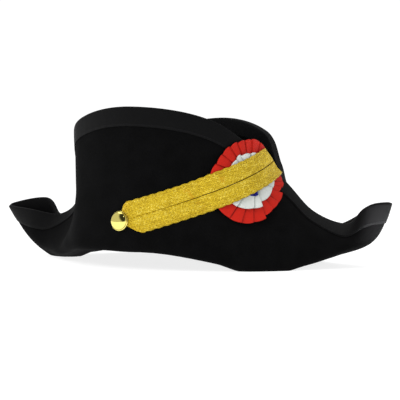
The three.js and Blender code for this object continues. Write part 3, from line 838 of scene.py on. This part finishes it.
# %% [markdown]
# ## The line of the braid
# The doubled braid starts under the button, climbs over the front flap, crosses the cockade and
# goes over the flap's edge. On the flat cloth it is gently curved upwards, so its line is walked
# in short steps that each turn a little. A curve in space could be drawn too, but it would not lie
# on the felt.

# %% Stations along the braid
BRAID_STEP = 4
braid_reach = half_length
level, climb, _ = level_frame(BUTTON_TURN, BUTTON_SHARE)
first_heading = level * math.cos(math.radians(BRAID_ANGLE)) + climb * math.sin(math.radians(BRAID_ANGLE))


def turned(vector, axis, angle):
    """A vector turned about an axis of length 1."""
    upright = axis * dot(axis, vector) * (1 - math.cos(angle))
    return vector * math.cos(angle) + np.cross(axis, vector) * math.sin(angle) + upright


middle_line = [(np.array(float(BUTTON_TURN)), np.array(float(BUTTON_SHARE)), first_heading)]
for step in range(int(braid_reach / BRAID_STEP) + 1):
    turn, share, heading = walk(*middle_line[-1], np.array(float(BRAID_STEP)))
    angle = math.radians(BRAID_BEND * BRAID_STEP / BEND_LENGTH)
    middle_line.append((turn, share, turned(heading, felt_frame(turn, share)[2], angle)))
line_turns, line_shares, line_headings = (np.stack([row[k] for row in middle_line]) for k in range(3))
print("braid stations:", len(middle_line))


def braid_place(distance, offset):
    """Places so far along the braid and so far up across it, with the direction it goes on in."""
    distance, offset = np.broadcast_arrays(np.asarray(distance, float), np.asarray(offset, float))
    index = np.clip(np.floor(distance / BRAID_STEP).astype(int), 0, len(middle_line) - 1)
    start = line_turns[index], line_shares[index], line_headings[index]
    turn, share, heading = walk(*start, distance - index * BRAID_STEP)
    normal = felt_frame(turn, share)[2]
    return *walk(turn, share, unit(np.cross(normal, heading)), offset)[:2], heading


def edge_distance(offset):
    """How far along a line of the braid meets the flap's edge, halved down to 0.01 mm."""
    low, high = np.full(len(offset), float(COCKADE_RADIUS)), np.full(len(offset), float(braid_reach))
    for _ in range(14):
        middle = (low + high) / 2
        inside = braid_place(middle, offset)[1] < 1
        low, high = np.where(inside, middle, low), np.where(inside, high, middle)
    return low


print("braid meets the edge at, mm:", edge_distance(np.array((-16.5, 0.0, 16.5))).round(1))

# %% Height of the braid's underside
cockade_centre = felt_point(COCKADE_TURN, COCKADE_SHARE)
FELT_GAP = 0.35  # under the braid
RAMP = 15  # length over which the braid rises or comes down
felt_top = FELT / 2 + FELT_GAP


def smooth(t):
    """0 below 0 and 1 above 1, with a soft step between."""
    t = np.clip(t, 0, 1)
    return t * t * (3 - 2 * t)


def braid_lift(turn, share):
    """Height of the braid's underside: high on the cockade and the ribbon and low on the felt."""
    distance = np.linalg.norm(felt_point(turn, share) - cockade_centre, axis=-1)
    part = distance / COCKADE_RADIUS
    over_cockade = cockade_top + (cockade_edge_top - cockade_top) * np.minimum(part, 1) ** 2
    length = section_length(turn)
    to_ribbon = (1 - RIBBON_WIDTH / length - share) * length
    over_ribbon = felt_top + (red_lift - felt_top) * smooth(1 - to_ribbon / RAMP)
    off_cockade = smooth((distance - COCKADE_RADIUS) / RAMP)
    return np.where(part < 1, over_cockade, cockade_edge_top + (over_ribbon - cockade_edge_top) * off_cockade)


def cockade_overhang(corner, forward):
    """How far the cockade stands out past places on the flap's edge, in the braid's direction."""
    reach = corner - cockade_centre
    ahead = dot(reach, forward)
    chord = np.maximum(COCKADE_RADIUS**2 - dot(reach, reach) + ahead**2, 0)
    return np.where(dot(reach, reach) < COCKADE_RADIUS**2, np.sqrt(chord) - ahead, 0)


print("underside at the button, mm:", braid_lift(BUTTON_TURN, BUTTON_SHARE).round(2))

# %% [markdown]
# ## Braid runs
# Each run is a strip 16 mm wide with a scalloped outer border and a raised cord along both
# borders. Its length is cut into stations close enough to model the scallops. It goes straight on
# past the edge of the flap until it is clear of the cockade. Then it wraps round and goes down
# inside as a plain tail. Cloth simulation could drape it, but might not stay near the solids.

# %% Face of a run, from the button to the flap's edge
BRAID_ROWS = 300
ACROSS_ROWS = 17
SCALLOP_PITCH = 8.2
SCALLOP_HEIGHT = 0.75
SCALLOP_INSET = 0.4
CORNER_CUT = 2.4  # how much later the run starts at its outer corner, which is round
STRIP = 0.75
BORDER_CORD = 0.4
SEAM_CORD = 0.15
BEVEL = 0.5
SEAM_GAP = 0.13  # by this much the runs close up near the button


def run_ends(side):
    """Offset of each line of a run from the seam, and where it starts and meets the flap's edge."""
    t = np.linspace(0, 1, ACROSS_ROWS)
    base_offset = side * (CLEARANCE / 2 + BRAID_WIDTH * t)
    slant = UPPER_SLANT if side > 0 else LOWER_SLANT
    begin = np.abs(base_offset) * slant - END_LAP + CORNER_CUT * smooth((t - 0.8) / 0.2) ** 2
    return t, base_offset, begin, edge_distance(base_offset)


def run_thickness(t):
    """Thickness across a run, with its two cords and its bevelled borders."""
    cord = BORDER_CORD * np.exp(-(((t - 0.93) / 0.05) ** 2)) + SEAM_CORD * np.exp(-(((t - 0.05) / 0.05) ** 2))
    return STRIP + cord - BEVEL * smooth((np.abs(t - 0.5) - 0.45) / 0.05)


def run_face(side, t, base_offset, begin, end):
    """Rows of top and bottom points from the start to the edge."""
    distance = begin + (end - begin) * np.linspace(0, 1, BRAID_ROWS)[:, None]
    scallop = SCALLOP_HEIGHT * np.abs(np.sin(distance * np.pi / SCALLOP_PITCH)) - SCALLOP_INSET
    closed = SEAM_GAP * (1 - smooth((distance - 40) / 60)) * (1 - t)
    offset = base_offset + side * (scallop * smooth((t - 0.75) / 0.25) - closed)
    turn, share, _ = braid_place(distance, offset)
    lift = braid_lift(turn, share)
    return list(zip(lifted_point(turn, share, lift + run_thickness(t)), lifted_point(turn, share, lift)))


# %% Wrap round the overhang and tail inside the flap
WRAP_ROWS = 12
TAIL_ROWS = 8
WRAP_STEP = 1.2
WRAP_EASE = 0.5


def run_wrap(edge_turn, edge_share, forward, thick):
    """Rows of top and bottom points from the shown side of the flap to its inside."""
    corner = felt_point(edge_turn, 1.0)
    _, up, normal = felt_frame(edge_turn, 1.0)
    forward = unit(forward - normal * dot(forward, normal)[:, None])
    clear_of_ribbon = (RIBBON + CLEARANCE) / dot(forward, unit(up))
    overhang = np.maximum(cockade_overhang(corner, forward) + TRIM_CLEARANCE, clear_of_ribbon)
    edge_lift = braid_lift(edge_turn, edge_share)
    rows = []
    for angle in np.linspace(0, np.pi, WRAP_ROWS + 1)[1:]:
        turn_side = np.sign(np.cos(angle)) * math.sqrt(abs(math.cos(angle)))
        faces = []
        for extra in (thick, 0 * thick):
            outside, inside = edge_lift + extra, red_lift + extra
            height = (outside - inside) / 2 + turn_side * (outside + inside) / 2
            out = (overhang + WRAP_EASE + extra) * math.sqrt(max(math.sin(angle), 0))
            faces.append(corner + forward * out[:, None] + normal * height[:, None])
        rows.append(faces)
    return rows


def run_tail(edge_turn, thick):
    """Rows of top and bottom points down inside the flap."""
    downs = [1 - BRAID_TAIL * k / TAIL_ROWS / section_length(edge_turn) for k in range(1, TAIL_ROWS + 1)]
    return [(lifted_point(edge_turn, down, -(red_lift + thick)),
             lifted_point(edge_turn, down, -red_lift)) for down in downs]


print("wrap and tail rows:", WRAP_ROWS, TAIL_ROWS)


# %% Two runs of braid
def braid_run(name, side, node):
    """One run. Side is 1 for the upper and -1 for the lower."""
    t, base_offset, begin, end = run_ends(side)
    thick = run_thickness(t)
    edge_turn, edge_share, forward = braid_place(end, base_offset)
    rows = run_face(side, t, base_offset, begin, end)
    rows += run_wrap(edge_turn, edge_share, forward, thick)
    rows += run_tail(edge_turn, thick)
    top, bottom = (np.stack(face) for face in zip(*rows))
    sections = np.concatenate((top, bottom[:, ::-1]), 1)
    wrapped = end.mean() + WRAP_STEP * WRAP_ROWS
    lengths = np.concatenate((np.linspace(begin.mean(), end.mean(), BRAID_ROWS),
                              end.mean() + WRAP_STEP * np.arange(1, WRAP_ROWS + 1),
                              wrapped + BRAID_TAIL / TAIL_ROWS * np.arange(1, TAIL_ROWS + 1)))
    widths = np.concatenate((t, t[::-1])) * BRAID_WIDTH - BRAID_WIDTH / 2
    loft(name, sections, lengths, widths, False, braid_gold, node)


braid_run("braid_top_run", 1, "braid_upper")
braid_run("braid_bottom_run", -1, "braid_lower")

# %% [markdown]
# ## Button
# The button is a low dome pressed from sheet brass and plated, with a narrow rolled flange. A
# lathe profile turned about its axis gives it. The finish is polished, with a little haze and
# wear from handling.

# %% Button finish and body
button_gold = Finish("button plated", Metallic=1.0)
wear = button_gold.noise(button_gold.place(), 700, 4, 0.6)
haze = button_gold.noise(button_gold.place(), 90, 2)
button_gold.drive(Base_Color=button_gold.blend(haze, (0.95, 0.80, 0.20, 1), (1.0, 0.88, 0.27, 1)),
                  Roughness=0.07 + wear * 0.09, Normal=button_gold.relief(wear, 0.00002, 0.4))

BUTTON_LIFT = 1.5  # over the felt, so that it sits on the start of the braid
BUTTON_STEPS = 96
FLANGE = 1.2
DOME_SHARE = 0.93
DOME_HEIGHT = BUTTON_HEIGHT - 1.6  # the rest is the flange and a little play
# Shares of the button's radius and the flange's height, from the axis outwards and up.
FLANGE_PROFILE = ((0.0, 0.0), (0.9, 0.0), (0.97, 0.12), (1.0, 0.35), (1.0, 0.6), (0.975, 0.85), (0.94, 0.95))
button_normal = level_frame(BUTTON_TURN, BUTTON_SHARE)[2]
button_base = lifted_point(BUTTON_TURN, BUTTON_SHARE, felt_top + BUTTON_LIFT)
angles = np.linspace(0, 2 * np.pi, BUTTON_STEPS, endpoint=False)
profile = [(radius * BUTTON_RADIUS, height * FLANGE) for radius, height in FLANGE_PROFILE]
profile += [(DOME_SHARE * BUTTON_RADIUS * math.cos(climb), FLANGE + DOME_HEIGHT * math.sin(climb))
            for climb in np.radians(np.linspace(0, 90, 24))]
side_way = unit(np.cross(button_normal, (0, 0, 1)))
up_way = np.cross(side_way, button_normal)
rings = np.array([[button_base + button_normal * h + (side_way * math.cos(a) + up_way * math.sin(a)) * r
                   for r, h in profile] for a in angles])
rim_step = 2 * math.pi * BUTTON_RADIUS / BUTTON_STEPS
loft("button_dome", rings, np.arange(BUTTON_STEPS) * rim_step, np.array([r for r, _ in profile]), True,
     button_gold, "button")

# %% [markdown]
# ## Floor, light and camera
# The hat stands on a plain pale floor in soft studio light from the upper left. The floor is a light
# table, a white sheet lit from below, which is how catalogue pictures get their even white ground.
# One weak lamp lies under the right horn, whose underside is bright. The camera sees the hat a
# little from the right of its front and just above the floor.

# %% Floor
floor_finish = Finish("floor pale", Roughness=0.9, Specular_IOR_Level=0.1, Emission_Strength=0.82,
                      Emission_Color=(1, 1, 1, 1))
grain = floor_finish.noise(floor_finish.place(), 6, 2)
floor_finish.drive(Base_Color=floor_finish.blend(grain, (0.34, 0.34, 0.34, 1), (0.36, 0.36, 0.36, 1)))
floor_mesh = bpy.data.meshes.new("floor")
floor_mesh.from_pydata([(-6, -6, 0), (6, -6, 0), (6, 6, 0), (-6, 6, 0)], [], [(0, 1, 2, 3)])
floor_mesh.materials.append(floor_finish.material)
floor = bpy.data.objects.new("floor", floor_mesh)
bpy.context.scene.collection.objects.link(floor)
print("floor nodes:", len(floor_finish.tree.nodes))


# %% Lights
def soft_light(name, place, size, power, target=(0, 0, 0.07)):
    """A round lamp in metres and watts, turned to its target."""
    lamp = bpy.data.lights.new(name, "AREA")
    lamp.shape, lamp.size, lamp.energy = "DISK", size, power
    holder = bpy.data.objects.new(name, lamp)
    holder.location = place
    holder.rotation_euler = (Vector(target) - Vector(place)).to_track_quat("-Z", "Y").to_euler()
    bpy.context.scene.collection.objects.link(holder)
    return holder


key_light = soft_light("key light", (-0.7, -1.8, 1.4), 1.0, 20)
soft_light("top light", (-0.6, 0.2, 2.1), 1.4, 12)
low_light = soft_light("light under the right horn", (0.225, -0.02, 0.003), 0.07, 0.16, (0.205, -0.015, 0.06))
low_light.data.spread = math.radians(70)
for lamp in (key_light, low_light):
    lamp.visible_glossy = lamp.visible_camera = False
print("hidden from mirrors and camera:", key_light.name, "and", low_light.name)

# %% [markdown]
# ## What the hat stands in
# The walls are plain light. The camera sees them white, and cloth is lit by them more softly. The
# polished button mirrors them, so in mirrors they are dimmer, with one dark patch for an open
# doorway and a bright one for a bulb. Real objects round the hat could give those reflections, but
# they would also be lit, take time to render and throw shadows.

# %% Studio round the hat
SEEN_LIGHT = 1.06
CLOTH_LIGHT = 0.84
MIRROR_LIGHT = 0.6


class Walls(Finish):
    """What stands round the hat, built with the same maths as a finish."""

    def __init__(self, name):
        self.world = bpy.data.worlds.new(name)
        self.world.use_nodes = True
        self.tree = self.world.node_tree
        self.shader = self.tree.nodes["Background"]

    def patch(self, direction, centre, spread):
        """1 inside a round patch of the walls, given by its direction and its radius in degrees."""
        inputs = {0: direction, 1: Vector(centre).normalized()}
        near = self.node("ShaderNodeVectorMath", {"operation": "DOT_PRODUCT"}, inputs)[0]
        return near.ramp(math.cos(math.radians(spread * 1.25)), math.cos(math.radians(spread * 0.85)))


studio = Walls("studio")
direction = studio.node("ShaderNodeTexCoord")[0]
seen, _, _, mirrored = studio.node("ShaderNodeLightPath")[:4]
doorway = studio.patch(direction, (0.34, -0.6, 0.62), 40)
bulb = studio.patch(direction, (0.4, -0.5, 0.75), 5)
in_mirror = MIRROR_LIGHT * (1 - doorway * 0.95) + bulb * 2.0
unseen = (1 - mirrored) * CLOTH_LIGHT + mirrored * in_mirror
studio.drive(Color=(1, 1, 1, 1), Strength=seen * SEEN_LIGHT + (1 - seen) * unseen)
bpy.context.scene.world = studio.world
bpy.context.scene.view_settings.view_transform = "Standard"
print("nodes of the studio:", len(studio.tree.nodes))

# %% Camera
AZIMUTH, ELEVATION, DISTANCE = 25.0, 1.5, 1100.0
AIM_ACROSS, AIM_HEIGHT = 21.1, 64.0
LENS, SENSOR = 93.65, 36.0
a, e = math.radians(AZIMUTH), math.radians(ELEVATION)
aim = in_frame((AIM_ACROSS * math.cos(a), AIM_ACROSS * math.sin(a), AIM_HEIGHT))
back = np.array((math.sin(a) * math.cos(e), -math.cos(a) * math.cos(e), math.sin(e)))
camera = bpy.data.objects.new("camera", bpy.data.cameras.new("camera"))
camera.data.lens, camera.data.sensor_width = LENS, SENSOR
camera.location = Vector(aim + back * DISTANCE / 1000)
camera.rotation_euler = Vector(-back).to_track_quat("-Z", "Y").to_euler()
bpy.context.scene.collection.objects.link(camera)
bpy.context.scene.camera = camera
print("camera height, mm:", round(camera.location.z * 1000, 1))
